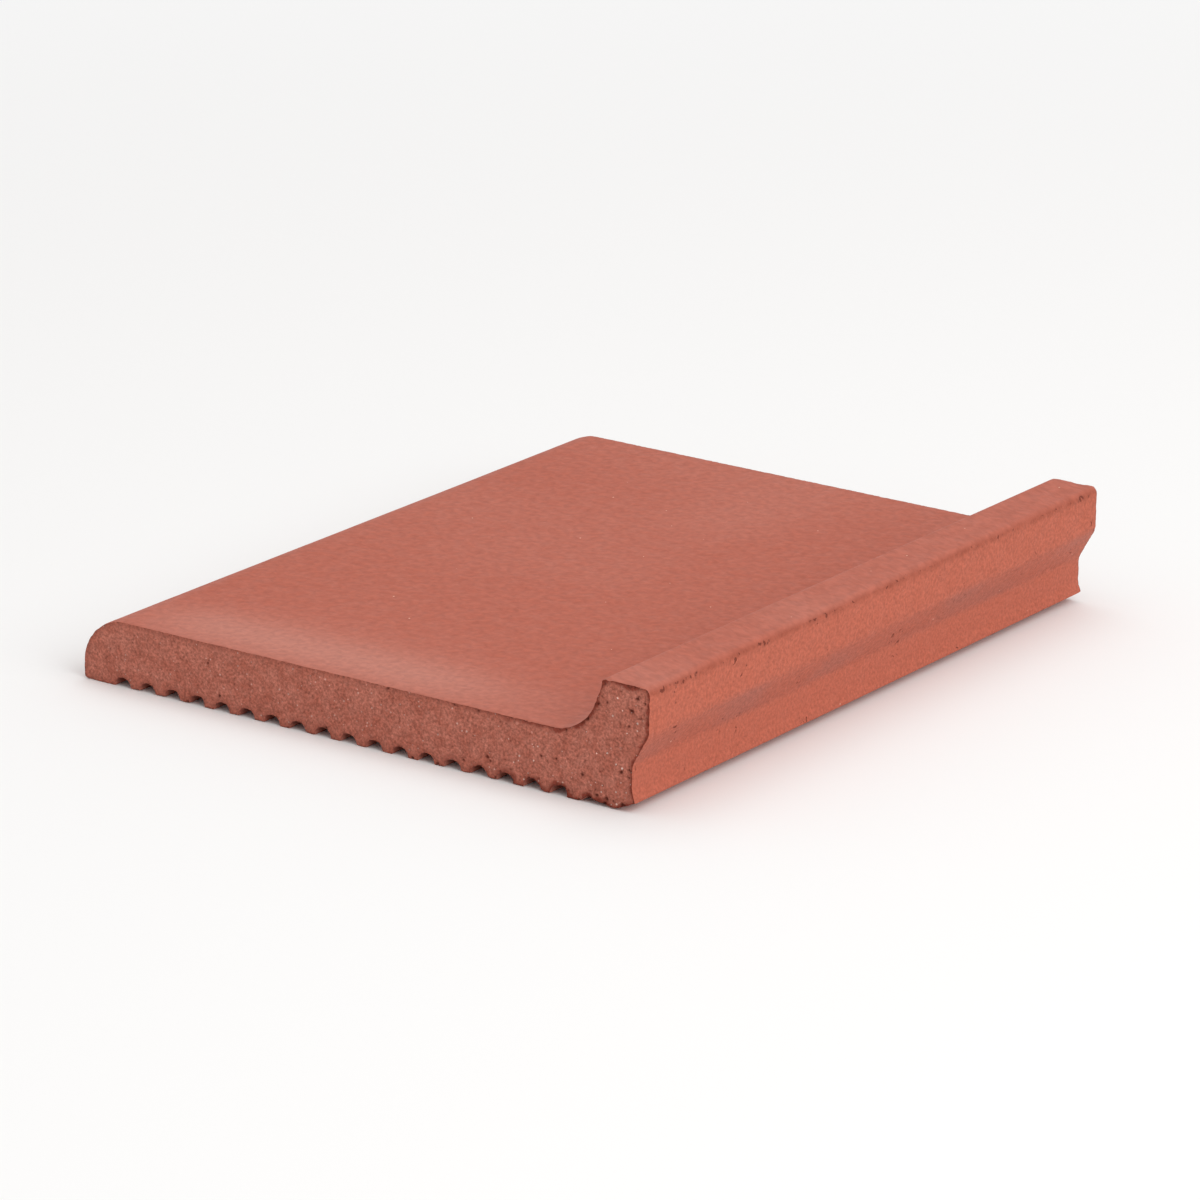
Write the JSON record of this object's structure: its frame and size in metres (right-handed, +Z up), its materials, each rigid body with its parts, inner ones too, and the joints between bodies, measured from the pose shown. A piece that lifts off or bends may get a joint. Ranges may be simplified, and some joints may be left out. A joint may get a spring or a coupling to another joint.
{
  "type": "quarry cove base tile",
  "caption": "Unglazed red quarry tile for a wall base: flat face, rounded top edge, hollow cove and a toe that meets the floor tile, grooved back.",
  "frame": {"origin": "centre of the bounding box's bottom, on the plane of the lands between the back grooves", "axes": "+Z up out of the smooth face, towards the toe's tip; +X from the rounded nose to the foot; +Y along the tile's length. On a wall, -Z faces the wall and +X points down."},
  "size_m": [0.127, 0.1524, 0.0238],
  "materials": {
    "fired_clay": "unglazed, satin smooth face, matte sawn-looking wire-cut ends"
  },
  "bodies": {
    "root": {"cove_base_tile": "fired_clay"}
  },
  "joints": []
}
